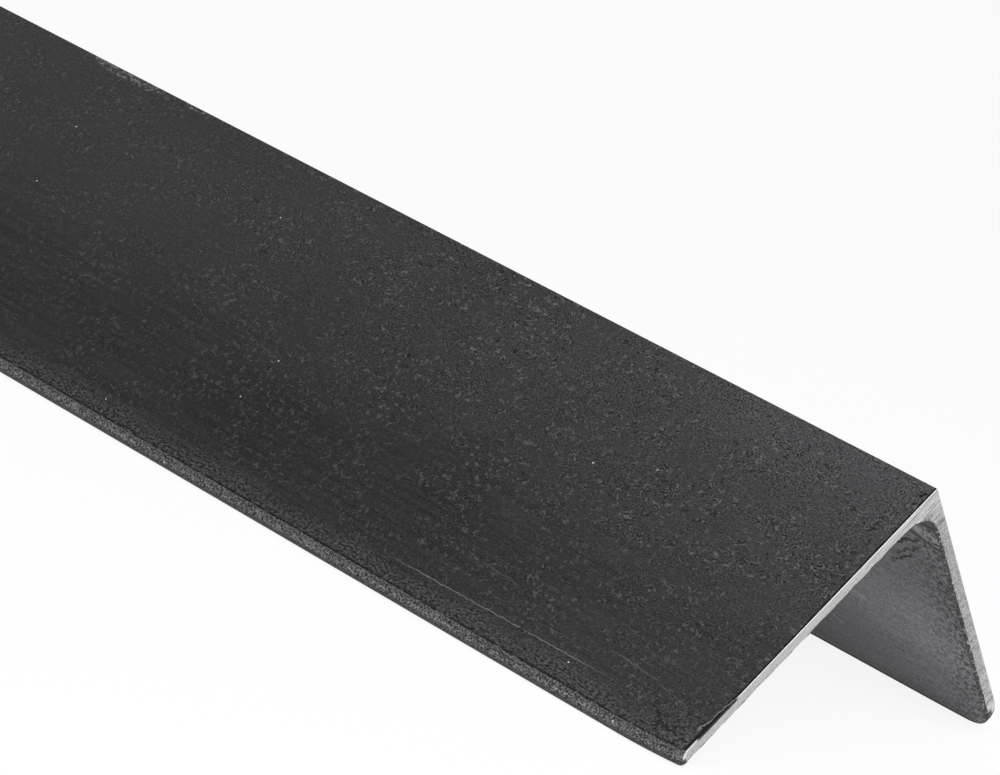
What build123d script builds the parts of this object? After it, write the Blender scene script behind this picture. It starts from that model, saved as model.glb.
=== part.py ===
"""Equal-leg steel angle: one straight length of rolled bar, lying heel up on its two toes.

Millimetres, +Z up. The bar runs along X, centred over the origin, and its toes rest on Z = 0.
"""

import os
from math import sqrt

from build123d import *

# Driving dimensions of the section
LEG_WIDTH = 50.0  # outside width of each leg, heel to toe
LEG_THICKNESS = 2.0
ROOT_RADIUS = 5.0  # inside, where the legs meet
TOE_OUTER_RADIUS = 1.2  # long arris of each toe, outer side
TOE_INNER_RADIUS = 0.4  # long arris of each toe, inner side
TOE_FLAT = 0.1  # least flat left between a toe's two arrises

# Driving dimensions of the length
BAR_LENGTH = 1000.0
LEFT_CORNER_RADIUS = 0.8  # the left toe's corner at each sawn end, seen square on to the leg
RIGHT_CORNER_RADIUS = 4.0  # the right toe's, which is ground rounder
END_CHAMFER = 0.35  # the inner arris of each sawn end, where the burr is dressed off

# A toe's arrises share its thickness, so both shrink on a leg too thin for them
TOE_SHARE = min(1.0, (LEG_THICKNESS - TOE_FLAT) / (TOE_OUTER_RADIUS + TOE_INNER_RADIUS))
OUTER_ARRIS = TOE_OUTER_RADIUS * TOE_SHARE
INNER_ARRIS = TOE_INNER_RADIUS * TOE_SHARE

# With equal legs, each one falls at 45 degrees from the heel and rests on its inner arris
DIAGONAL = 1 / sqrt(2)
HEEL_HEIGHT = (LEG_WIDTH + LEG_THICKNESS - 2 * INNER_ARRIS) * DIAGONAL + INNER_ARRIS

ALONG_BAR = Vector(1, 0, 0)
DOWN_LEFT_LEG = Vector(0, -DIAGONAL, -DIAGONAL)
DOWN_RIGHT_LEG = Vector(0, DIAGONAL, -DIAGONAL)
HEEL_START = Vector(-BAR_LENGTH / 2, 0, HEEL_HEIGHT)

# Section plane at the -X end: its x runs down the left leg and its y down the right one
SECTION_PLANE = Plane(origin=HEEL_START, x_dir=DOWN_LEFT_LEG, z_dir=ALONG_BAR)
# The plane of each leg's outer face: its x runs along the bar and its y down the leg
LEG_PLANES = [
    Plane(origin=HEEL_START, x_dir=ALONG_BAR, z_dir=ALONG_BAR.cross(down_leg))
    for down_leg in (DOWN_LEFT_LEG, DOWN_RIGHT_LEG)
]
CORNER_RADII = (LEFT_CORNER_RADIUS, RIGHT_CORNER_RADIUS)

with BuildPart() as angle_bar:
    with BuildSketch(SECTION_PLANE) as section:
        with BuildLine():
            Polyline(
                (0, 0),
                (LEG_WIDTH, 0),
                (LEG_WIDTH, LEG_THICKNESS),
                (LEG_THICKNESS, LEG_THICKNESS),
                (LEG_THICKNESS, LEG_WIDTH),
                (0, LEG_WIDTH),
                close=True,
            )
        make_face()
        rounding = {
            (LEG_THICKNESS, LEG_THICKNESS): ROOT_RADIUS,
            (LEG_WIDTH, 0): OUTER_ARRIS,
            (0, LEG_WIDTH): OUTER_ARRIS,
            (LEG_WIDTH, LEG_THICKNESS): INNER_ARRIS,
            (LEG_THICKNESS, LEG_WIDTH): INNER_ARRIS,
        }
        for corner, radius in rounding.items():
            fillet(section.vertices().sort_by_distance(corner)[0], radius=radius)
    extrude(amount=BAR_LENGTH)

    # The toe's corners at both sawn ends: a square less the round that stays
    for leg_plane, radius in zip(LEG_PLANES, CORNER_RADII):
        round_centre = LEG_WIDTH - radius
        with BuildSketch(leg_plane) as corner_waste:
            with Locations((0, LEG_WIDTH), (BAR_LENGTH, LEG_WIDTH)):
                Rectangle(2 * radius, 2 * radius)
            with Locations((radius, round_centre), (BAR_LENGTH - radius, round_centre)):
                Circle(radius, mode=Mode.SUBTRACT)
        extrude(amount=LEG_WIDTH, both=True, mode=Mode.SUBTRACT)

    # The inner arris of both sawn ends: the trough widens at 45 degrees
    for depth, towards_end in ((END_CHAMFER, -1), (BAR_LENGTH - END_CHAMFER, 1)):
        with BuildSketch(SECTION_PLANE.offset(depth)) as trough:
            with Locations((LEG_THICKNESS, LEG_THICKNESS)):
                Rectangle(LEG_WIDTH, LEG_WIDTH, align=(Align.MIN, Align.MIN))
            fillet(trough.vertices().sort_by_distance((0, 0))[0], radius=ROOT_RADIUS)
        extrude(amount=towards_end * END_CHAMFER, taper=-45, mode=Mode.SUBTRACT)

angle_bar.part.label = "angle_bar"
os.makedirs("parts", exist_ok=True)
export_step(angle_bar.part, "parts/angle_bar.step")
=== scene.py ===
"""Finish and fine shape of a steel angle: one length of dark rolled bar with sawn ends.

The bar lies heel up on its two toes, along X. Every place on it is given in section
coordinates: `left` and `right` are the distances down the two legs from the heel, and
`depth` is the distance in from a sawn end. The bar's sizes are in millimetres, and those
of the studio in metres.
"""

from __future__ import annotations

import logging
import math
from abc import ABC, abstractmethod
from collections.abc import Iterable, Mapping, Sequence
from dataclasses import dataclass, field
from enum import Enum
from functools import cached_property
from typing import ClassVar

import bpy
from mathutils import Euler, Matrix, Vector, noise

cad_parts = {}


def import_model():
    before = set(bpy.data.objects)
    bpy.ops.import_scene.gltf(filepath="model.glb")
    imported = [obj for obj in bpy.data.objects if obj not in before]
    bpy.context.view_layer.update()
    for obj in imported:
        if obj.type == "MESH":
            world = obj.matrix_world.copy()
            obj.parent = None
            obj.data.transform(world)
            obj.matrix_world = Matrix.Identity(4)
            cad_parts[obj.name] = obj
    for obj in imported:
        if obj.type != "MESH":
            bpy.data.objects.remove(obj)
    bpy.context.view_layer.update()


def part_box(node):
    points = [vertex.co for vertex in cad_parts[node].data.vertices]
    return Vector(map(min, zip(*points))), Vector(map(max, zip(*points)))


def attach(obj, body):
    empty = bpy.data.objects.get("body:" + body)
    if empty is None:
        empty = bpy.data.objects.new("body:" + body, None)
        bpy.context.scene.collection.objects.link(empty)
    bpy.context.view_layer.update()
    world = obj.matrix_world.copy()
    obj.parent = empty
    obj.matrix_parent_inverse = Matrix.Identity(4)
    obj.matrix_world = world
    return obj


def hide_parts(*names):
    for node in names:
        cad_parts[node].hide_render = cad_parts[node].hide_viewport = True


LOG = logging.getLogger("steel_angle")
MM = 0.001
Socket = bpy.types.NodeSocket


# ---------------------------------------------------------------- shader expressions


class Value:
    """A shader socket in an expression. Its operators add Math nodes to the same tree."""

    def __init__(self, shader: Shader, socket: Socket) -> None:
        """Wraps a socket.

        Args:
            shader: the tree that the socket is in.
            socket: an output socket that gives a number.
        """
        self.shader = shader
        self.socket = socket

    def __add__(self, other: Number) -> Value:
        """self + other."""
        return self.shader.math("ADD", self, other)

    __radd__ = __add__

    def __sub__(self, other: Number) -> Value:
        """self - other."""
        return self.shader.math("SUBTRACT", self, other)

    def __rsub__(self, other: Number) -> Value:
        """other - self."""
        return self.shader.math("SUBTRACT", other, self)

    def __mul__(self, other: Number) -> Value:
        """self * other."""
        return self.shader.math("MULTIPLY", self, other)

    __rmul__ = __mul__

    def __truediv__(self, other: Number) -> Value:
        """self / other."""
        return self.shader.math("DIVIDE", self, other)

    def __abs__(self) -> Value:
        """abs(self)."""
        return self.shader.math("ABSOLUTE", self)

    def higher(self, other: Number) -> Value:
        """The higher of self and other."""
        return self.shader.math("MAXIMUM", self, other)

    def lower(self, other: Number) -> Value:
        """The lower of self and other."""
        return self.shader.math("MINIMUM", self, other)

    def root(self) -> Value:
        """The square root of self."""
        return self.shader.math("SQRT", self)

    def step(self, low: float, high: float) -> Value:
        """A smooth step.

        Args:
            low: where the step starts, giving 0.
            high: where it ends, giving 1. It may be below low, for a falling step.

        Returns:
            The step's value, from 0 to 1.
        """
        if low > high:
            return 1 - self.step(high, low)
        sockets = {"Value": self, "From Min": low, "From Max": high}
        node = self.shader.node("ShaderNodeMapRange", {"interpolation_type": "SMOOTHSTEP"}, sockets)
        return Value(self.shader, node.outputs["Result"])


Number = Value | float


class Shader:
    """The node tree of one material or of the world, built by expressions."""

    def __init__(
        self,
        owner: bpy.types.Material | bpy.types.World,
        output: str = "ShaderNodeOutputMaterial",
    ) -> None:
        """Empties the tree and gives it an output.

        Args:
            owner: the material or the world.
            output: the type name of its output node.
        """
        owner.use_nodes = True
        self.owner = owner
        self.tree = owner.node_tree
        self.tree.nodes.clear()
        self.output = self.node(output)

    def surface(self, socket: Socket) -> None:
        """Links a shader to the output."""
        self.tree.links.new(socket, self.output.inputs["Surface"])

    def node(
        self,
        kind: str,
        settings: Mapping[str, object] | None = None,
        sockets: Mapping[str | int, object] | None = None,
    ) -> bpy.types.Node:
        """Adds a node.

        Args:
            kind: the node's type name.
            settings: its properties, set before its sockets.
            sockets: input name or index to a number, colour, Value or output socket.

        Returns:
            The new node.
        """
        node = self.tree.nodes.new(kind)
        for name, setting in (settings or {}).items():
            setattr(node, name, setting)
        for key, given in (sockets or {}).items():
            if isinstance(given, Value):
                given = given.socket
            if isinstance(given, Socket):
                self.tree.links.new(given, node.inputs[key])
            else:
                node.inputs[key].default_value = given
        return node

    def math(self, operation: str, *terms: Number) -> Value:
        """A Math node.

        Args:
            operation: the node's operation.
            terms: its inputs in order.

        Returns:
            The node's result.
        """
        node = self.node("ShaderNodeMath", {"operation": operation}, dict(enumerate(terms)))
        return Value(self, node.outputs[0])

    def vector(self, x: Number, y: Number, z: Number) -> Socket:
        """A vector made of three numbers."""
        node = self.node("ShaderNodeCombineXYZ", None, {"X": x, "Y": y, "Z": z})
        return node.outputs["Vector"]

    def noise(
        self,
        place: Socket,
        grain: float,
        detail: float = 1.0,
        roughness: float = 0.5,
        distortion: float = 0.0,
    ) -> Value:
        """Smooth noise.

        Args:
            place: where it is read.
            grain: the size of its lumps.
            detail: how many finer layers it has.
            roughness: how strong those layers are.
            distortion: how far they are dragged about.

        Returns:
            The noise, about 0.5 in the middle.
        """
        sockets = {
            "Vector": place,
            "Scale": 1 / grain,
            "Detail": detail,
            "Roughness": roughness,
            "Distortion": distortion,
        }
        node = self.node("ShaderNodeTexNoise", {"normalize": True}, sockets)
        return Value(self, node.outputs["Fac"])

    def dots(
        self,
        place: Socket,
        spacing: float,
        sizes: tuple[float, float],
        picked: tuple[float, float],
        flat: bool = False,
    ) -> Value:
        """Scattered dots.

        Args:
            place: where they are read.
            spacing: how far apart their places are.
            sizes: where a dot has faded out and where it is full, as shares of the spacing.
            picked: the random numbers from which a place gets a faint dot and a full one.
            flat: whether only the first two numbers of `place` count.

        Returns:
            1 in a dot and 0 between dots.
        """
        settings = {"feature": "F1", "voronoi_dimensions": "2D" if flat else "3D"}
        node = self.node("ShaderNodeTexVoronoi", settings, {"Vector": place, "Scale": 1 / spacing})
        colour = self.node("ShaderNodeSeparateColor", None, {"Color": node.outputs["Color"]})
        inside = Value(self, node.outputs["Distance"]).step(*sizes)
        return inside * Value(self, colour.outputs["Red"]).step(*picked)

    def mix(self, share: Number, first: Colour, second: Colour) -> Socket:
        """A colour between two colours.

        Args:
            share: how much of the second, from 0 to 1.
            first: the first colour.
            second: the second colour.

        Returns:
            The mixed colour.
        """
        settings = {"data_type": "RGBA", "blend_type": "MIX", "clamp_factor": True}
        node = self.node("ShaderNodeMix", settings, {0: share, 6: first, 7: second})
        return node.outputs[2]

    def tint(self, colour: RGBA, amount: Value) -> Socket:
        """A colour made lighter or darker.

        Args:
            colour: the colour.
            amount: what it is multiplied by.

        Returns:
            The new colour.
        """
        settings, sockets = {"operation": "MULTIPLY"}, {0: colour[:3], 1: amount}
        return self.node("ShaderNodeVectorMath", settings, sockets).outputs[0]

    def finish(self, gloss: float, colour: Colour, roughness: Value, height: Value) -> None:
        """Ends the tree in a surface without metallic shine.

        Args:
            gloss: its specular level.
            colour: its colour.
            roughness: its roughness.
            height: how far it stands out, which bends its normal.
        """
        bump = self.node("ShaderNodeBump", None, {"Height": height, "Strength": 1.0, "Distance": MM})
        sockets = {
            "Metallic": 0.0,
            "Specular IOR Level": gloss,
            "Base Color": colour,
            "Roughness": roughness,
            "Normal": bump.outputs["Normal"],
        }
        self.surface(self.node("ShaderNodeBsdfPrincipled", None, sockets).outputs["BSDF"])


RGBA = tuple[float, float, float, float]
Colour = Socket | RGBA


def grey(level: float, blue: float = 0.0) -> RGBA:
    """A nearly neutral colour.

    Args:
        level: its reflectance, from 0 to 1.
        blue: how much more blue it has, as a share.

    Returns:
        The colour.
    """
    return (level, level, level * (1 + blue), 1.0)


# ------------------------------------------------------------------- the bar's section


@dataclass(frozen=True)
class AngleSize:
    """Real sizes of the rolled section."""

    leg: float = 50.0
    thickness: float = 2.0
    root_radius: float = 5.0
    heel_radius: float = 0.12
    toe_outer_radius: float = 1.2
    toe_inner_radius: float = 0.4


@dataclass(frozen=True)
class SawnEnd:
    """One cut end: how square it is, its toe corners and its edges."""

    side: int
    left_corner: float = 0.8
    right_corner: float = 4.0
    left_taper: float = 0.0
    right_taper: float = 0.0
    left_slant: float = 0.0
    right_slant: float = 0.0
    slant_reach: float = 20.0
    taper_reach: float = 12.0
    outer_arris: float = 0.08
    inner_chamfer: float = 0.35
    raggedness: float = 0.16
    ragged_grain: float = 0.9

    def slant(self, depth: float, left: float, right: float) -> float:
        """How far the cut leans into the bar at a point.

        Args:
            depth: the distance in from the end.
            left: the distance down the left leg.
            right: the distance down the right leg.

        Returns:
            The distance, which fades out along the bar.
        """
        fade = max(0.0, 1 - depth / self.slant_reach) ** 2
        return (self.left_slant * left + self.right_slant * right) * fade

    def corner_pull(self, depth: float, on_left: bool) -> float:
        """How far a toe stands back from its full width.

        Args:
            depth: the distance in from the end.
            on_left: whether the toe is the left leg's.

        Returns:
            The distance that the corner's rounding and its taper take off the leg.
        """
        radius = self.left_corner if on_left else self.right_corner
        pull = radius - math.sqrt(radius**2 - max(0.0, radius - depth) ** 2)
        taper = self.left_taper if on_left else self.right_taper
        return pull + taper * max(0.0, 1 - depth / self.taper_reach) ** 2

    def ragged(self, left: float, right: float, row: int) -> float:
        """An uneven shift of the torn inner edge.

        Args:
            left: the distance down the left leg.
            right: the distance down the right leg.
            row: which row of the edge, so that the rows differ.

        Returns:
            The shift, up or down.
        """
        # The third coordinate keeps the rows and the two ends apart in the noise.
        place = Vector((left, right, 0.0)) / self.ragged_grain
        wide = noise.noise(place * 0.5 + Vector((0, 0, row + self.side * 7.3)))
        fine = noise.noise(place * 1.7 + Vector((0, 0, row * 3.1 + self.side * 5.9)))
        return self.raggedness * (wide + 0.7 * fine)


@dataclass(frozen=True)
class Frame:
    """Where the section's coordinates lie in the part's frame."""

    half_length: float
    heel_height: float

    DIAGONAL = math.sqrt(0.5)

    def point(self, along: float, left: float, right: float) -> Vector:
        """A point of the bar.

        Args:
            along: the place along the bar.
            left: the distance down the left leg.
            right: the distance down the right leg.

        Returns:
            The point in the part's frame, in metres.
        """
        down = (left + right) * self.DIAGONAL
        return Vector((along, (right - left) * self.DIAGONAL, self.heel_height - down)) * MM


class Zone(Enum):
    """The finishes of the bar, in the order of its material slots."""

    OUTER = 0
    INNER = 1
    TOE = 2
    SAWN = 3
    BURR = 4


@dataclass(frozen=True)
class SectionPoint:
    """A point of the section's outline.

    `zone` is that of the strip that follows it. `inside` goes from 0 on the outer side to 1 on
    the inner one. Only a `key` point is carried along the whole bar.
    """

    left: float
    right: float
    zone: Zone
    inside: float = 0.0
    key: bool = True


@dataclass
class SectionOutline:
    """The closed outline of the section, from the heel down the left leg and back."""

    size: AngleSize
    face_step: float = 0.45
    key_every: int = 4
    arc_step: float = math.radians(12)

    def arc(
        self,
        centre: tuple[float, float],
        radius: float,
        turns: tuple[float, float],
        zone: Zone,
        inside: tuple[float, float] = (0.0, 0.0),
    ) -> list[SectionPoint]:
        """Points round an arc, without its last one.

        Args:
            centre: its centre, as distances down the left and right legs.
            radius: its radius.
            turns: the angles where it starts and ends, in radians.
            zone: the zone that its strips belong to.
            inside: how far inside its start and its end are.

        Returns:
            The points in order.
        """
        start, end = turns
        count = max(2, round(abs(end - start) / self.arc_step))
        points = []
        for step in range(count):
            share = step / count
            turn = start + (end - start) * share
            left = centre[0] + radius * math.cos(turn)
            right = centre[1] + radius * math.sin(turn)
            level = inside[0] + (inside[1] - inside[0]) * share
            points.append(SectionPoint(left, right, zone, level))
        return points

    def run(self, start: float, end: float, right: float, zone: Zone) -> list[SectionPoint]:
        """Points along a flat face of the left leg, without its last one.

        Args:
            start: the distance down the left leg where it starts.
            end: the distance where it ends.
            right: the distance down the right leg, the same all along.
            zone: the zone that its strips belong to.

        Returns:
            The points in order, of which one in `key_every` is a key point.
        """
        count = self.key_every * max(1, round(abs(end - start) / self.face_step / self.key_every))
        inside = 1.0 if zone is Zone.INNER else 0.0
        return [
            SectionPoint(
                start + (end - start) * i / count, right, zone, inside, i % self.key_every == 0
            )
            for i in range(count)
        ]

    def left_half(self) -> list[SectionPoint]:
        """The outline from the middle of the heel to the middle of the root."""
        s = self.size
        quarter = math.pi / 2
        eighth = math.pi / 4
        heel = (s.heel_radius, s.heel_radius)
        outer = (s.leg - s.toe_outer_radius, s.toe_outer_radius)
        inner = (s.leg - s.toe_inner_radius, s.thickness - s.toe_inner_radius)
        root = (s.thickness + s.root_radius,) * 2
        points = self.arc(heel, s.heel_radius, (-quarter - eighth, -quarter), Zone.OUTER)
        points += self.run(s.heel_radius, outer[0], 0.0, Zone.OUTER)
        points += self.arc(outer, s.toe_outer_radius, (-quarter, 0.0), Zone.TOE)
        points.append(SectionPoint(s.leg, outer[1], Zone.TOE))
        points += self.arc(inner, s.toe_inner_radius, (0.0, quarter), Zone.TOE, (0.0, 1.0))
        points += self.run(inner[0], root[0], s.thickness, Zone.INNER)
        root_turns = (-quarter, -quarter - eighth)
        points += self.arc(root, s.root_radius, root_turns, Zone.INNER, (1.0, 1.0))
        return points

    def points(self) -> list[SectionPoint]:
        """The whole outline, the right half mirrored from the left one."""
        half = self.left_half()
        s = self.size
        reach = s.thickness + s.root_radius * (1 - Frame.DIAGONAL)
        middle = SectionPoint(reach, reach, Zone.INNER, 1.0)
        mirrored = [
            SectionPoint(p.right, p.left, half[i - 1].zone, p.inside, p.key)
            for i, p in enumerate(half)
            if i > 0
        ]
        return half + [middle] + mirrored[::-1]


@dataclass(frozen=True)
class Ring:
    """One ring of the bar, by its depth from the sawn end on the outer and inner sides."""

    end: SawnEnd
    outer_depth: float
    inner_depth: float
    outer_inset: float = 0.0
    inner_inset: float = 0.0
    row: int = 0
    ragged_share: float = 0.0
    fine: bool = True


@dataclass
class AngleBar:
    """The rolled bar: its outline carried along X, with rounded toe corners and sawn ends."""

    size: AngleSize
    frame: Frame
    near_end: SawnEnd
    far_end: SawnEnd
    edge_bands: int = 2
    collar: float = 3.2
    collar_rows: int = 7
    collar_crowding: float = 1.4
    ragged_fade: float = 3.0
    fine_reach: float = 24.0
    fine_step: float = 0.9
    growth: float = 1.12
    coarse_step: float = 9.0
    corner_blend: float = 9.0

    def end_rings(self, end: SawnEnd) -> list[Ring]:
        """The rings of a sawn end, from the cut inwards.

        Args:
            end: the sawn end.

        Returns:
            The rings of its edges, of which the second is part-way round them, then those of
            the collar behind them.
        """
        arris, chamfer = end.outer_arris, end.inner_chamfer
        rings = [
            Ring(end, 0.0, 0.0, arris, chamfer, 0, 1.0),
            Ring(end, 0.3 * arris, 0.45 * chamfer, 0.3 * arris, 0.4 * chamfer, 1, 0.6),
            Ring(end, arris, chamfer, 0.0, 0.0, self.edge_bands, 1.0),
        ]
        for row in range(1, self.collar_rows + 1):
            share = (row / self.collar_rows) ** self.collar_crowding
            outer = arris + (self.collar - arris) * share
            inner = chamfer + (self.collar - chamfer) * share
            torn = max(0.0, 1 - self.ragged_fade * share)
            rings.append(Ring(end, outer, inner, row=self.edge_bands, ragged_share=torn))
        return rings

    def body_depths(self) -> list[float]:
        """How far in from a sawn end the plain rings lie, from the collar to the middle."""
        depths = [self.collar]
        step = self.fine_step
        while depths[-1] + step < self.frame.half_length:
            depths.append(depths[-1] + step)
            if depths[-1] > self.fine_reach:
                step = min(step * self.growth, self.coarse_step)
        return depths[1:]

    def rings(self) -> list[Ring]:
        """All the rings, from the near end to the far one."""
        near, far = (
            self.end_rings(end) + [Ring(end, d, d, fine=False) for d in self.body_depths()]
            for end in (self.near_end, self.far_end)
        )
        return near + far[::-1]

    def toe_share(self, reach: float) -> float:
        """How much of a toe corner's pull a point takes.

        Args:
            reach: the distance down the leg.

        Returns:
            0 far from the toe, and 1 all round it.
        """
        stop = self.size.leg - self.size.toe_outer_radius
        share = min(1.0, max(0.0, (reach - (stop - self.corner_blend)) / self.corner_blend))
        return share * share * (3 - 2 * share)

    def place(self, outline: Sequence[SectionPoint], index: int, ring: Ring) -> Vector:
        """A vertex of a ring.

        Args:
            outline: the section's outline.
            index: which of its points.
            ring: the ring.

        Returns:
            The vertex in the part's frame, in metres.
        """
        point = outline[index]
        before, after = outline[index - 1], outline[(index + 1) % len(outline)]
        run_left, run_right = after.left - before.left, after.right - before.right
        length = math.hypot(run_left, run_right)
        inward = (-run_right / length, run_left / length)
        torn = ring.end.ragged(point.left, point.right, ring.row) * ring.ragged_share
        depth = ring.outer_depth + (ring.inner_depth - ring.outer_depth) * point.inside
        inset = ring.outer_inset + (ring.inner_inset - ring.outer_inset) * point.inside
        if ring.outer_depth == 0.0:
            inset += max(0.0, torn + inset * 0.2) * point.inside
        else:
            depth += torn * point.inside
        left = point.left + inward[0] * inset
        right = point.right + inward[1] * inset
        left -= ring.end.corner_pull(depth, True) * self.toe_share(point.left)
        right -= ring.end.corner_pull(depth, False) * self.toe_share(point.right)
        reach = self.frame.half_length - depth - ring.end.slant(depth, left, right)
        return self.frame.point(ring.end.side * reach, left, right)

    def build(self) -> bpy.types.Object:
        """Makes the bar's mesh, each face with the material index of its zone.

        Returns:
            The new object.
        """
        outline = SectionOutline(self.size).points()
        keys = [i for i, point in enumerate(outline) if point.key]
        rings = self.rings()
        vertices: list[Vector] = []
        numbers: list[dict[int, int]] = []
        for ring in rings:
            kept = range(len(outline)) if ring.fine else keys
            numbers.append({index: len(vertices) + i for i, index in enumerate(kept)})
            vertices += [self.place(outline, index, ring) for index in kept]
        faces: list[tuple[int, ...]] = []
        zones: list[Zone] = []
        for order, (ring, following) in enumerate(zip(rings, rings[1:])):
            at_edge = order < self.edge_bands or order >= len(rings) - 1 - self.edge_bands
            stops = list(range(len(outline))) if ring.fine and following.fine else keys
            for start, stop in zip(stops, stops[1:] + [len(outline)]):
                span = [i % len(outline) for i in range(start, stop + 1)]
                one = [numbers[order][i] for i in span if i in numbers[order]]
                two = [numbers[order + 1][i] for i in span if i in numbers[order + 1]]
                faces.append((*reversed(one), *two))
                zones.append(Zone.BURR if at_edge else outline[start].zone)
        faces.append(tuple(numbers[0][i] for i in range(len(outline))))
        faces.append(tuple(numbers[-1][i] for i in reversed(range(len(outline)))))
        zones += [Zone.SAWN, Zone.SAWN]
        mesh = bpy.data.meshes.new("angle_bar_finish")
        mesh.from_pydata(vertices, [], faces)
        mesh.polygons.foreach_set("material_index", [zone.value for zone in zones])
        mesh.polygons.foreach_set("use_smooth", [zone is not Zone.SAWN for zone in zones])
        mesh.validate()
        mesh.update()
        bar = bpy.data.objects.new("angle_bar_finish", mesh)
        bpy.context.scene.collection.objects.link(bar)
        return bar


# -------------------------------------------------------------------------- finishes


@dataclass
class Place:
    """The section coordinates of the point being shaded."""

    shader: Shader
    frame: Frame
    size: AngleSize
    end: SawnEnd
    along: Value = field(init=False)
    left: Value = field(init=False)
    right: Value = field(init=False)

    def __post_init__(self) -> None:
        """Reads the object coordinates and turns them into section coordinates."""
        coordinates = self.shader.node("ShaderNodeTexCoord").outputs["Object"]
        split = self.shader.node("ShaderNodeSeparateXYZ", None, {"Vector": coordinates})
        x, y, z = (Value(self.shader, split.outputs[axis]) / MM for axis in "XYZ")
        down = (self.frame.heel_height - z) * Frame.DIAGONAL
        aside = y * Frame.DIAGONAL
        self.along = x
        self.left = down - aside
        self.right = down + aside

    def vector(self, stretch: float, seed: float) -> Socket:
        """The place as a vector.

        Args:
            stretch: how much longer a texture read there is along the bar.
            seed: where in the texture it is read.

        Returns:
            The vector.
        """
        return self.shader.vector(self.along / stretch + seed, self.left + seed, self.right)

    def noise(self, stretch: float, seed: float, grain: float, *layers: float) -> Value:
        """Smooth noise over the bar.

        Args:
            stretch: how much longer its lumps are along the bar.
            seed: where in the noise the bar lies.
            grain: the size of its lumps.
            layers: its detail, roughness and distortion, as `Shader.noise` takes them.

        Returns:
            The noise, about 0.5 in the middle.
        """
        return self.shader.noise(self.vector(stretch, seed), grain, *layers)

    @cached_property
    def depth(self) -> Value:
        """The distance in from the near sawn end, taken as square."""
        return self.frame.half_length - self.along

    @cached_property
    def edge_gap(self) -> Value:
        """The distance in from the nearer sawn edge, as it was really cut."""
        lean = self.left * self.end.left_slant + self.right * self.end.right_slant
        return (self.depth - lean).lower(self.frame.half_length + self.along)

    @cached_property
    def reach(self) -> Value:
        """The distance down the leg that the point is on."""
        return self.left.higher(self.right)

    @cached_property
    def skin(self) -> Value:
        """The distance in from the outer faces."""
        return self.left.lower(self.right)

    @cached_property
    def toe_gap(self) -> Value:
        """How far up the leg from the toe's edge the point is, round the corners too."""
        taper = (1 - self.edge_gap / self.end.taper_reach).higher(0.0)
        pulls = []
        for radius, most in (
            (self.end.left_corner, self.end.left_taper),
            (self.end.right_corner, self.end.right_taper),
        ):
            into = (radius - self.edge_gap).higher(0.0)
            corner = radius - (radius**2 - into * into).root()
            pulls.append(corner + taper * taper * most)
        on_left = self.shader.math("GREATER_THAN", self.left, self.right)
        pull = pulls[1] + (pulls[0] - pulls[1]) * on_left
        return self.size.leg - self.reach - pull


@dataclass(frozen=True)
class Scratch:
    """A thin mark near one end, nearly along the bar, on the left leg or on the right one."""

    start_depth: float
    start_reach: float
    end_depth: float
    end_reach: float
    width: float
    strength: float
    on_left: bool = True
    wave: float = 0.45

    def mask(self, place: Place, waver: Value) -> Value:
        """Where the scratch is.

        Args:
            place: the point being shaded.
            waver: noise that bends it a little.

        Returns:
            Its strength there.
        """
        share = (self.start_depth - place.depth) / (self.start_depth - self.end_depth)
        line = self.start_reach + share * (self.end_reach - self.start_reach)
        across = place.left if self.on_left else place.right
        away = abs(across - line + (waver - 0.5) * self.wave)
        fade = share.step(0.0, 0.25) * share.step(1.0, 0.8)
        return away.step(self.width, 0.3 * self.width) * fade * self.strength


@dataclass(frozen=True)
class Spot:
    """A small round or long mark on the outer face of the left leg, or over the heel.

    `rim` and `core` are where it fades out and where it is full, as squared shares of its size.
    """

    depth: float
    reach: float
    half_length: float
    half_width: float
    rim: float = 1.3
    core: float = 0.6
    unevenness: float = 1.6

    def mask(self, place: Place, waver: Value) -> Value:
        """Where the mark is.

        Args:
            place: the point being shaded.
            waver: noise that makes its rim uneven.

        Returns:
            1 inside it and 0 outside.
        """
        along = (place.depth - self.depth) / self.half_length
        across = (place.left - place.right - self.reach) / self.half_width
        away = along * along + across * across + (waver - 0.5) * self.unevenness
        return away.step(self.rim, self.core)


@dataclass(frozen=True)
class LiftedFlake:
    """A lip of scale lifted off along the sawn edge: a light line with a dark gap beside it."""

    start_reach: float = 38.0
    end_reach: float = 45.3
    lean: float = 0.125
    wave: float = 0.9
    lip_width: float = 0.13
    gap_strength: float = 0.85

    def outside(self, place: Place, waver: Value) -> Value:
        """How far the point is from the lip, above 0 on the bar's side of it."""
        lip = (place.left - self.start_reach) * self.lean
        return place.edge_gap - lip + (waver - 0.5) * self.wave

    def span(self, place: Place) -> Value:
        """1 beside the lip and 0 past its two ends."""
        start, end = self.start_reach, self.end_reach
        return place.left.step(start, start + 1.0) * place.left.step(end, end - 0.6)

    def lip(self, place: Place, waver: Value) -> Value:
        """1 on the light line along the lip."""
        away = abs(self.outside(place, waver))
        return away.step(self.lip_width, 0.05) * self.span(place)

    def gap(self, place: Place, waver: Value) -> Value:
        """How dark the gap under the lip is."""
        under = self.outside(place, waver).step(0.05, -0.12)
        return under * self.span(place) * self.gap_strength


@dataclass(frozen=True)
class LostEdge:
    """Where the sawn edge of the left leg has broken away and shows black."""

    start_reach: float = 38.3
    end_reach: float = 46.5
    fade: float = 0.7
    black: RGBA = grey(0.004)

    def mask(self, place: Place) -> Value:
        """1 between its two ends and 0 past them."""
        begins = place.left.step(self.start_reach, self.start_reach + self.fade)
        return begins * place.left.step(self.end_reach, self.end_reach - self.fade)


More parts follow.
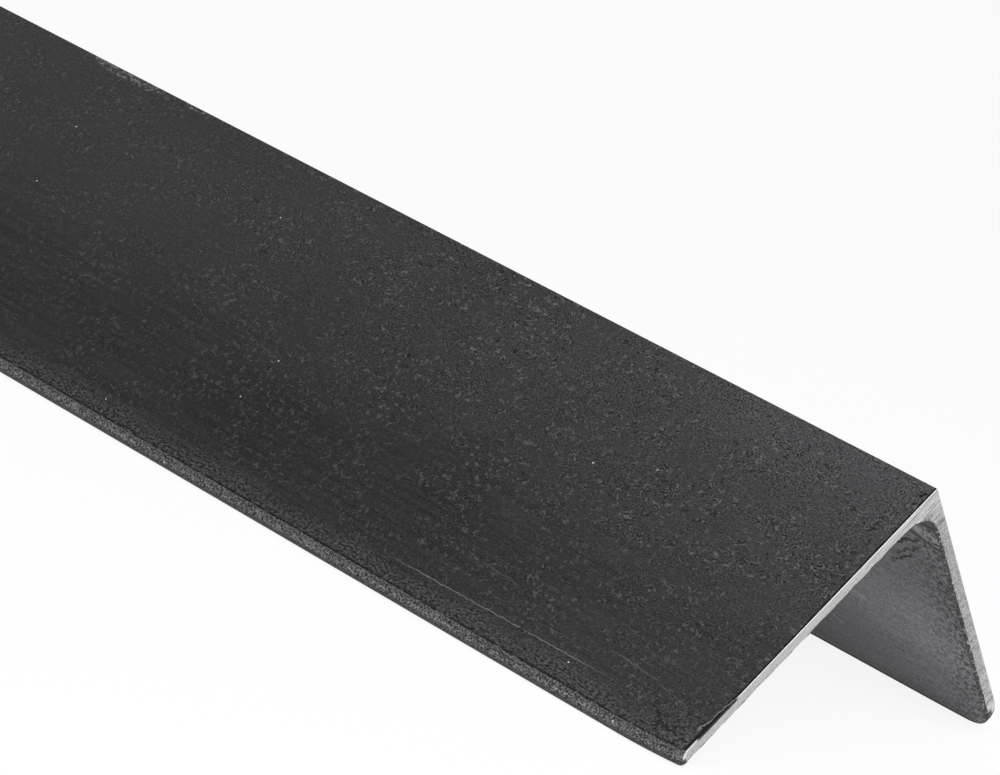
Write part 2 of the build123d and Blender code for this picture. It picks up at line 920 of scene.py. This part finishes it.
@dataclass(frozen=True)
class Finish(ABC):
    """A finish of the bar: a material that changes with the place in the section."""

    frame: Frame
    size: AngleSize
    end: SawnEnd
    name: ClassVar[str]

    @abstractmethod
    def dress(self, place: Place) -> None:
        """Builds the surface.

        Args:
            place: the point being shaded.
        """

    def build(self) -> bpy.types.Material:
        """Makes the material.

        Returns:
            The material.
        """
        shader = Shader(bpy.data.materials.new(self.name))
        self.dress(Place(shader, self.frame, self.size, self.end))
        return shader.owner


@dataclass(frozen=True)
class SharedLayers:
    """What the layers of the mill scale share at a point: areas, 1 inside each, and noises."""

    place: Place
    corner: Value
    near: Value
    lower: Value
    band: Value
    clouds: Value
    waver: Value
    grain: Value
    rough: Value
    lumps: Value


@dataclass(frozen=True)
class MillScale(Finish):
    """Dark rolled scale on the outer faces, flecked, scratched and rougher by the toe."""

    name: ClassVar[str] = "mill_scale"
    base: float = 0.0295
    gloss: float = 0.12
    pale: RGBA = grey(0.14, blue=0.02)
    bare: RGBA = grey(0.6)
    black: RGBA = grey(0.002)
    lip: RGBA = grey(0.22)
    grain_size: float = 0.26
    cluster_size: float = 7.0
    wide_fleck: float = 0.80
    fine_fleck: float = 0.42
    sparkle_spacing: float = 18.0
    band_width: float = 5.4
    dark_patch_strength: float = 0.11
    scratches: tuple[Scratch, ...] = (
        Scratch(58.0, 45.4, 15.0, 44.8, 0.10, 0.85),
        Scratch(20.0, 41.3, 10.0, 42.0, 0.10, 0.42),
        Scratch(11.0, 42.2, 4.5, 43.2, 0.10, 0.35),
        Scratch(44.0, 39.6, 36.0, 40.1, 0.11, 0.3),
        Scratch(96.0, 28.0, 92.0, 28.6, 0.11, 0.3),
    )
    dark_marks: tuple[Scratch, ...] = (
        Scratch(9.6, 44.4, 5.2, 47.4, 0.29, 0.8, True, 2.2),
        Scratch(7.8, 46.4, 3.2, 47.0, 0.29, 0.8, True, 2.4),
        Scratch(5.6, 47.4, 2.7, 44.8, 0.25, 0.7, True, 2.2),
    )
    pits: tuple[Spot, ...] = (
        Spot(0.80, 1.55, 0.30, 0.26),
        Spot(1.10, 2.00, 0.34, 0.26),
        Spot(1.35, 1.50, 0.22, 0.16),
        Spot(1.10, 3.5, 0.22, 0.20),
    )
    # Soft darker patches on the outer faces.
    dark_patches: tuple[Spot, ...] = (
        Spot(53.0, 29.0, 8.0, 17.0, 1.6, -0.4),
        Spot(77.0, 9.0, 8.0, 6.0, 1.6, -0.4),
        Spot(88.0, 36.0, 16.0, 6.0, 1.6, -0.4),
    )
    scuffs: tuple[Spot, ...] = (
        Spot(150.5, 0.3, 7.5, 1.2),
        Spot(136.5, 0.3, 2.0, 0.4),
    )
    flake: LiftedFlake = LiftedFlake()

    def shared(self, place: Place) -> SharedLayers:
        """The areas and noises that several layers use.

        Args:
            place: the point being shaded.

        Returns:
            The shared values there.
        """
        by_corner = place.edge_gap.step(10.0, 4.0)
        band_wave = (place.noise(1.0, 900.0, 7.0, 2.0) - 0.5) * 3.0
        return SharedLayers(
            place=place,
            corner=by_corner * place.toe_gap.step(8.5, 5.0),
            near=place.depth.step(150.0, 60.0),
            lower=place.reach.step(16.0, 36.0),
            band=(place.toe_gap + band_wave).step(self.band_width, 2.0),
            clouds=place.noise(2.2, 0.0, 16.0, 3.0, 0.55),
            waver=place.noise(1.0, 400.0, 0.8, 1.0),
            grain=place.noise(1.2, 0.0, self.grain_size, 1.0, 0.7),
            rough=place.noise(1.8, 220.0, 0.30, 1.5, 0.7),
            lumps=place.noise(1.3, 720.0, 1.3, 2.0, 0.6),
        )

    def shade(self, shared: SharedLayers) -> Value:
        """How light the bare scale is, with painted light and painted sheen in it.

        Args:
            shared: the shared values.

        Returns:
            Its reflectance as a share of `base`.
        """
        place = shared.place
        patch = place.noise(1.5, 660.0, 5.5, 2.5, 0.6).step(0.38, 0.60)
        power = (0.55 + shared.near * 0.45) * (2.2 + patch * 2.8 + shared.corner * 2.4)
        power = power * (1 - shared.lower * 0.26)
        # Painted sheen lightens the scale near the heel, and painted light lightens it toward the
        # sawn ends, most of all by the heel. It is darker lower down the leg.
        painted_heel_sheen = place.reach.step(22.0, 6.0)
        painted_end_light = place.edge_gap.step(75.0, 0.0)
        painted_corner_light = painted_end_light * place.reach.step(15.0, 0.0)
        tone = 0.80 + painted_heel_sheen * 0.16 + painted_end_light * 0.26 + painted_corner_light * 0.40
        tone = tone - shared.lower * 0.25
        for dark_patch in self.dark_patches:
            tone = tone - dark_patch.mask(place, shared.clouds) * self.dark_patch_strength
        shade = tone * (1 + (shared.clouds - 0.5) * 0.5 + (shared.grain - 0.5) * power)
        brushed = place.noise(30.0, 240.0, 0.7, 2.5, 0.6)
        shade = shade + (brushed - 0.5) * (0.15 + shared.lower * 0.75)
        return shade + shared.band * (0.45 + (shared.rough - 0.5) * 8.0)

    def flecks(self, shared: SharedLayers) -> tuple[Value, Value, Value]:
        """Small flakes of scale: pale bent dashes and rings, each with a painted shadow on one side.

        Args:
            shared: the shared values.

        Returns:
            The pale flakes, their painted shadows, and how strongly either shows.
        """
        place = shared.place
        cluster = place.noise(1.5, 770.0, self.cluster_size, 3.0, 0.62).step(0.40, 0.60)
        broken = place.noise(1.0, 130.0, 0.9, 1.5).step(0.47, 0.58)
        wide = place.noise(1.3, 310.0, self.wide_fleck, 1.0, 0.5, 1.2)
        fine = place.noise(1.1, 580.0, self.fine_fleck, 0.5, 0.5, 0.6)
        share = broken * (cluster * 0.7 + 0.3)
        light = abs(wide - 0.455).step(0.065, 0.02).higher(fine.step(0.66, 0.74))
        # The dark contours and specks are painted shadows beside the light ones.
        dark = abs(wide - 0.56).step(0.07, 0.02).higher(fine.step(0.34, 0.26))
        strength = (0.30 + shared.near * 0.26) * (1 - shared.band * 0.8)
        return light * share, dark * share, strength * (1 - shared.lower * 0.3)

    def pale_marks(self, shared: SharedLayers) -> Value:
        """Scuffs, scratches, paler scale by the cut and the rims of the corner's lumps.

        Args:
            shared: the shared values.

        Returns:
            Their strength there.
        """
        place = shared.place
        mottle = place.noise(1.0, 830.0, 0.8, 2.0, 0.6).step(0.52, 0.64)
        by_edge = place.noise(1.0, 170.0, 6.0, 1.0).step(0.46, 0.60)
        pale = place.edge_gap.step(2.4, 0.3) * mottle * by_edge * 0.7
        pale = pale.higher(abs(shared.lumps - 0.5).step(0.025, 0.01) * shared.corner * 0.28)
        scuffed = place.noise(1.6, 610.0, 0.5, 2.0).step(0.44, 0.62)
        for scuff in self.scuffs:
            pale = pale.higher(scuff.mask(place, shared.waver) * scuffed * 0.9)
        for scratch in self.scratches:
            pale = pale.higher(scratch.mask(place, shared.waver))
        return pale

    def dark_lines(self, shared: SharedLayers) -> Value:
        """The crease by the toe, the sawn edge, the flake's gap, the lumps, marks and pits.

        Args:
            shared: the shared values.

        Returns:
            Their strength there.
        """
        place = shared.place
        crease_break = place.noise(4.0, 500.0, 0.35, 1.0).step(0.38, 0.52)
        crease_line = (place.toe_gap - self.size.toe_outer_radius).step(0.44, 0.12)
        edge_break = place.noise(1.0, 700.0, 1.4, 2.0).step(0.22, 0.32)
        ragged = (place.noise(1.0, 350.0, 1.7, 2.0) - 0.5) * 0.5
        flaked = place.left.step(36.0, 40.0) * 0.16
        edge_line = (place.edge_gap + ragged - flaked).step(0.46, 0.34)
        dark = (crease_line * crease_break).higher(edge_line * edge_break)
        dark = dark.higher(shared.lumps.step(0.54, 0.62) * shared.corner * 0.5)
        dark = dark.higher(self.flake.gap(place, shared.waver))
        for mark in (*self.dark_marks, *self.pits):
            dark = dark.higher(mark.mask(place, shared.waver))
        return dark

    def sparkles(self, place: Place) -> Value:
        """Rare bright grains of bare metal."""
        across = place.shader.vector(place.along, place.left - place.right, 0.0)
        return place.shader.dots(across, self.sparkle_spacing, (0.0075, 0.0045), (0.40, 0.41), True)

    def dress(self, place: Place) -> None:
        """Builds the surface.

        Args:
            place: the point being shaded.
        """
        shader, shared = place.shader, self.shared(place)
        light_flecks, fleck_shadows, strength = self.flecks(shared)
        pale = self.pale_marks(shared).higher(light_flecks * strength)
        # The painted shadows of the flecks join the dark lines.
        dark = self.dark_lines(shared).higher(fleck_shadows * strength * 1.6)
        shade = self.shade(shared).higher(0.12)
        colour = shader.tint(grey(self.base, blue=0.06), shade)
        colour = shader.mix(pale, colour, self.pale)
        colour = shader.mix(self.sparkles(place), colour, self.bare)
        colour = shader.mix(dark * 0.95, colour, self.black)
        colour = shader.mix(self.flake.lip(place, shared.waver) * 0.6, colour, self.lip)
        height = (shared.grain - 0.5) * 0.05 + light_flecks * 0.03
        height = height - dark * 0.08 + shared.band * (shared.rough - 0.5) * 0.12
        roughness = 0.52 + (shared.grain - 0.5) * 0.3 - light_flecks * 0.08
        shader.finish(self.gloss, colour, roughness, height)


@dataclass(frozen=True)
class ToeScale(Finish):
    """Coarse, paler scale round the toe, palest along its middle from wear and a painted highlight,
    and darker underneath from painted shade.
    """

    name: ClassVar[str] = "toe_scale"
    base: float = 0.080
    gloss: float = 0.15
    hole: RGBA = grey(0.01)
    bare: RGBA = grey(0.6)
    chip_spacing: float = 1.1
    hole_spacing: float = 0.8

    def dress(self, place: Place) -> None:
        """Builds the surface.

        Args:
            place: the point being shaded.
        """
        shader, skin = place.shader, place.skin
        grain = place.noise(1.2, 300.0, 0.24, 1.5, 0.75)
        lumps = place.noise(2.0, 600.0, 1.3, 2.0, 0.6)
        # Wear and a painted highlight make the middle of the toe's round paler, and painted shade
        # darkens its underside.
        lightened = skin.step(0.08, 0.30) * skin.step(0.95, 0.50)
        under = skin.step(0.55, 1.25)
        level = 0.84 + lightened * 0.50 - under * 0.24
        shade = level * (1 + (grain - 0.5) * 7.5 + (lumps - 0.5) * 0.9)
        chip_place, hole_place = place.vector(1.0, 800.0), place.vector(1.0, 150.0)
        chips = shader.dots(chip_place, self.chip_spacing, (0.17, 0.08), (0.80, 0.86))
        holes = shader.dots(hole_place, self.hole_spacing, (0.24, 0.12), (0.70, 0.80))
        colour = shader.tint(grey(self.base, blue=0.04), shade.higher(0.12))
        colour = shader.mix(holes * 0.7, colour, self.hole)
        colour = shader.mix(chips * lightened, colour, self.bare)
        height = (grain - 0.5) * 0.10 - holes * 0.06
        shader.finish(self.gloss, colour, 0.55 + (grain - 0.5) * 0.4, height)


@dataclass(frozen=True)
class InnerScale(Finish):
    """Smoother grey scale inside the angle, with a dark mottled rim by the sawn ends."""

    name: ClassVar[str] = "inner_scale"
    base: float = 0.205
    gloss: float = 0.06
    lightened: RGBA = grey(0.50, blue=0.02)
    black: RGBA = grey(0.02, blue=0.05)
    rim_width: float = 8.5
    rim_wave: float = 4.0
    dark_marks: tuple[Scratch, ...] = (
        # The first mark is painted shade in the root, behind the cut end.
        Scratch(7.0, 5.4, -0.9, 6.2, 1.5, 0.85, False),
        Scratch(6.2, 9.2, -0.8, 11.2, 0.45, 0.85, False),
        Scratch(9.8, 14.6, 3.0, 10.0, 0.44, 0.95, False, 2.4),
        Scratch(9.8, 16.8, 3.4, 11.8, 0.40, 0.85, False, 2.8),
        Scratch(11.0, 19.4, 5.4, 14.8, 0.40, 0.95, False, 2.6),
    )
    pale_marks: tuple[Scratch, ...] = (
        Scratch(5.2, 8.2, -0.8, 9.0, 0.95, 0.9, False),
        Scratch(3.0, 10.0, -0.8, 10.4, 0.30, 0.5, False),
        Scratch(21.4, 31.6, 17.6, 32.4, 0.40, 1.0, False, 1.2),
        Scratch(20.8, 31.8, 18.6, 34.0, 0.36, 0.9, False, 1.2),
        Scratch(26.4, 41.0, 24.0, 42.2, 0.36, 0.8, False, 1.2),
    )

    def shade(self, place: Place, grain: Value, streaks: Value) -> Value:
        """How light the bare scale is, with painted light in it.

        Args:
            place: the point being shaded.
            grain: the scale's grain there.
            streaks: streaks along the bar, which show in the root.

        Returns:
            Its reflectance as a share of `base`.
        """
        clouds = place.noise(2.5, 200.0, 12.0, 3.0, 0.55)
        brushed = place.noise(16.0, 400.0, 0.6, 2.0, 0.6)
        shade = 1 + (clouds - 0.5) * 0.9 + (brushed - 0.5) * 1.0 + (grain - 0.5) * 2.0
        toe_dark = place.reach.step(36.0, 42.0) * place.reach.step(49.5, 46.0)
        # Painted light makes the face lighter further in from the sawn ends and further down the
        # leg.
        shade = shade - toe_dark * 0.14 + place.edge_gap.step(5.0, 24.0) * 0.45
        shade = shade + place.reach.step(16.0, 46.0) * 0.26
        root = self.size.thickness + self.size.root_radius
        in_root = place.reach.step(root + 5.0, root - 1.5)
        return shade + in_root * (streaks - 0.5) * 3.5

    def dress(self, place: Place) -> None:
        """Builds the surface.

        Args:
            place: the point being shaded.
        """
        shader = place.shader
        grain = place.noise(1.1, 600.0, 0.36, 1.5, 0.6)
        streaks = place.noise(7.0, 330.0, 0.5, 2.0, 0.6)
        waver = place.noise(1.0, 470.0, 1.2, 2.0, 0.6)
        mottle = place.noise(1.0, 900.0, 0.62, 2.0, 0.75)
        wave = (place.noise(1.0, 100.0, 3.5, 2.0) - 0.5) * self.rim_wave
        rim = (place.edge_gap + wave).step(self.rim_width, 0.5)
        spots = (mottle - rim * 0.05).step(0.47, 0.385)
        dark = (rim * 0.12 + spots * (0.20 + rim * 0.45)).lower(0.8)
        lip = place.edge_gap.step(1.2, 0.6)
        dark = dark.higher(lip * (0.20 + spots * 0.45))
        # Painted shade: a dark line along the inner edge of the toe, by the floor.
        dark = dark.higher(place.reach.step(48.9, 49.3) * 0.8)
        for mark in self.dark_marks:
            dark = dark.higher(mark.mask(place, waver))
        pale = mottle.step(0.59, 0.68) * (0.12 + rim * 0.4)
        for mark in self.pale_marks:
            pale = pale.higher(mark.mask(place, waver) * streaks.step(0.28, 0.44))
        shade = self.shade(place, grain, streaks).higher(0.15)
        colour = shader.tint(grey(self.base, blue=0.05), shade)
        colour = shader.mix(pale, colour, self.lightened)
        colour = shader.mix(dark, colour, self.black)
        height = (grain - 0.5) * 0.03 - dark * 0.05
        shader.finish(self.gloss, colour, 0.5 + (grain - 0.5) * 0.3, height)


@dataclass(frozen=True)
class SawnSteel(Finish):
    """Bare steel of the cut ends, with the saw's lines straight across from leg to leg."""

    name: ClassVar[str] = "sawn_steel"
    base: float = 0.395
    gloss: float = 0.5
    line_spacing: float = 0.28
    line_stretch: float = 14.0
    lost: LostEdge = LostEdge()

    def dress(self, place: Place) -> None:
        """Builds the surface.

        Args:
            place: the point being shaded.
        """
        shader = place.shader
        across = shader.vector(place.left / self.line_stretch, place.right, place.along)
        lines = shader.noise(across, self.line_spacing, 1.5, 0.65)
        patches = place.noise(1.0, 500.0, 2.4, 2.0)
        grain = place.noise(1.0, 200.0, 0.3, 1.5, 0.6)
        chips = place.noise(1.0, 900.0, 0.34, 1.5, 0.6).step(0.54, 0.66)
        by_heel = place.reach.step(12.0, 4.0)
        by_toe = place.right.step(36.0, 44.0)
        right_leg = place.right.step(1.0, 6.5)
        right_toe = place.right.step(30.0, 44.0)
        # Painted shade darkens the cut face of the right leg, and painted light lightens it again
        # toward its toe.
        shade = 1 - right_leg * 0.25 + right_toe * 0.20 + (patches - 0.5) * 0.3
        shade = shade + (lines - 0.5) * (0.6 + 2.2 * by_heel.higher(by_toe))
        shade = shade + (grain - 0.5) * (0.6 + right_leg * 1.2)
        inside = place.skin.step(0.7, 1.8)
        shade = shade - inside * chips * (0.32 + right_leg * 0.2)
        colour = shader.tint(grey(self.base, blue=0.01), shade.higher(0.15))
        lost = self.lost.mask(place) * place.skin.step(0.36, 0.30)
        colour = shader.mix(lost, colour, self.lost.black)
        height = (lines - 0.5) * 0.08 + (grain - 0.5) * 0.02
        shader.finish(self.gloss, colour, 0.42 + (patches - 0.5) * 0.3, height)


@dataclass(frozen=True)
class BurrSteel(Finish):
    """The edges of the cut: bright along the outer arris, dark with bright crumbs inside."""

    name: ClassVar[str] = "burr_steel"
    bright: RGBA = grey(0.62)
    dull: RGBA = grey(0.05, blue=0.03)
    crumb: RGBA = grey(0.5)
    gloss: float = 0.15
    lost: LostEdge = LostEdge()

    def dress(self, place: Place) -> None:
        """Builds the surface.

        Args:
            place: the point being shaded.
        """
        shader = place.shader
        torn = place.noise(1.0, 500.0, 0.5, 2.0, 0.7)
        spread = place.noise(1.0, 100.0, 4.0, 1.0).step(0.40, 0.62)
        crumbs = torn.step(0.56, 0.64) * (0.25 + spread * 0.75)
        inner = shader.tint(self.dull, 1 + (torn - 0.5) * 2.5)
        inner = shader.mix(crumbs, inner, self.crumb)
        outer = shader.mix(self.lost.mask(place), self.bright, self.lost.black)
        colour = shader.mix(place.skin.step(0.6, 1.2), outer, inner)
        height = (torn - 0.5) * 0.06
        shader.finish(self.gloss, colour, 0.45 + (torn - 0.5) * 0.3, height)


# ------------------------------------------------------------------------------ studio


@dataclass(frozen=True)
class StudioCamera:
    """A long lens that looks along the bar from its near end, tilted over."""

    place: tuple[float, float, float] = (0.79430, -0.48469, 0.17886)
    azimuth: float = 36.937
    elevation: float = 14.584
    roll: float = 17.505
    lens: float = 167.48
    sensor: float = 36.0
    nearest: float = 0.01
    farthest: float = 100.0

    def build(self) -> None:
        """Makes the camera and sets it as the scene's."""
        data = bpy.data.cameras.new("camera")
        data.lens = self.lens
        data.sensor_width = self.sensor
        data.clip_start = self.nearest
        data.clip_end = self.farthest
        camera = bpy.data.objects.new("camera", data)
        azimuth, elevation = math.radians(self.azimuth), math.radians(self.elevation)
        turn = Euler((math.pi / 2 - elevation, 0.0, azimuth)).to_matrix().to_4x4()
        roll = Matrix.Rotation(math.radians(self.roll), 4, "Z")
        camera.matrix_world = Matrix.Translation(self.place) @ turn @ roll
        bpy.context.scene.collection.objects.link(camera)
        bpy.context.scene.camera = camera


@dataclass(frozen=True)
class SoftLamp:
    """A rectangular area lamp aimed at a point."""

    name: str
    place: tuple[float, float, float]
    target: tuple[float, float, float]
    width: float
    height: float
    power: float

    def build(self) -> None:
        """Makes the lamp."""
        data = bpy.data.lights.new(self.name, "AREA")
        data.shape = "RECTANGLE"
        data.size = self.width
        data.size_y = self.height
        data.energy = self.power
        lamp = bpy.data.objects.new(self.name, data)
        lamp.location = self.place
        aim = Vector(self.target) - Vector(self.place)
        lamp.rotation_euler = aim.to_track_quat("-Z", "Y").to_euler()
        bpy.context.scene.collection.objects.link(lamp)


@dataclass(frozen=True)
class Studio:
    """The pale floor, the white surroundings and the lamps."""

    floor_size: float = 60.0
    floor_colour: float = 0.8
    floor_glow: float = 0.88
    world_level: float = 0.55
    lamps: tuple[SoftLamp, ...] = (
        SoftLamp("key", (0.9, -0.5, 1.2), (0.4, 0.0, 0.0), 1.2, 0.8, 11.0),
        SoftLamp("far_light", (-1.2, -0.1, 0.45), (-0.5, 0.0, 0.02), 0.5, 0.5, 1.5),
        SoftLamp("end_light", (0.78, -0.20, 0.30), (0.5, -0.01, 0.03), 0.16, 0.16, 1.0),
    )

    def floor(self) -> None:
        """Makes the floor, which looks white and keeps a faint shadow."""
        half = self.floor_size / 2
        mesh = bpy.data.meshes.new("floor")
        corners = [(-half, -half, 0), (half, -half, 0), (half, half, 0), (-half, half, 0)]
        mesh.from_pydata(corners, [], [(0, 1, 2, 3)])
        floor = bpy.data.objects.new("floor", mesh)
        bpy.context.scene.collection.objects.link(floor)
        shader = Shader(bpy.data.materials.new("pale_floor"))
        matt = shader.node("ShaderNodeBsdfDiffuse", None, {"Color": grey(self.floor_colour)})
        glow = shader.node("ShaderNodeEmission", None, {"Strength": 1.0})
        seen = self.seen(shader) * self.floor_glow
        sockets = {0: seen, 1: matt.outputs["BSDF"], 2: glow.outputs["Emission"]}
        mixed = shader.node("ShaderNodeMixShader", None, sockets)
        shader.surface(mixed.outputs["Shader"])
        mesh.materials.append(shader.owner)

    @staticmethod
    def seen(shader: Shader) -> Value:
        """1 for a ray from the camera or a mirror-like surface, and 0 for any other."""
        path = shader.node("ShaderNodeLightPath")
        camera, glossy, clear = (
            Value(shader, path.outputs[f"Is {kind} Ray"])
            for kind in ("Camera", "Glossy", "Transmission")
        )
        return camera.higher(glossy).higher(clear)

    def world(self) -> None:
        """Makes the surroundings: white to the camera, and a plain soft light."""
        world = bpy.data.worlds.new("studio")
        bpy.context.scene.world = world
        shader = Shader(world, "ShaderNodeOutputWorld")
        lit = shader.node("ShaderNodeBackground", None, {"Strength": self.world_level})
        white = shader.node("ShaderNodeBackground", None, {"Strength": 1.0})
        outputs = lit.outputs["Background"], white.outputs["Background"]
        sockets = {0: self.seen(shader), 1: outputs[0], 2: outputs[1]}
        shader.surface(shader.node("ShaderNodeMixShader", None, sockets).outputs["Shader"])

    def build(self) -> None:
        """Builds the whole studio."""
        self.floor()
        self.world()
        for lamp in self.lamps:
            lamp.build()


# -------------------------------------------------------------------------------- main


def main() -> None:
    """Builds the bar, its finishes, the studio and the camera."""
    logging.basicConfig(level=logging.INFO, format="%(name)s: %(message)s")
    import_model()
    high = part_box("angle_bar")[1]
    frame = Frame(half_length=high.x / MM, heel_height=high.z / MM)
    size = AngleSize()
    bpy.context.scene.view_settings.view_transform = "Standard"

    near_end = SawnEnd(
        side=1,
        left_taper=0.45,
        right_taper=0.3,
        left_slant=0.88 / size.leg,
        right_slant=0.40 / size.leg,
    )
    StudioCamera().build()
    bar = AngleBar(size, frame, near_end, SawnEnd(side=-1)).build()
    for finish in (MillScale, InnerScale, ToeScale, SawnSteel, BurrSteel):
        bar.data.materials.append(finish(frame, size, near_end).build())
    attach(bar, "root")
    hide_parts("angle_bar")
    LOG.info("%s: %d faces", bar.name, len(bar.data.polygons))

    Studio().build()


if __name__ == "__main__":
    main()
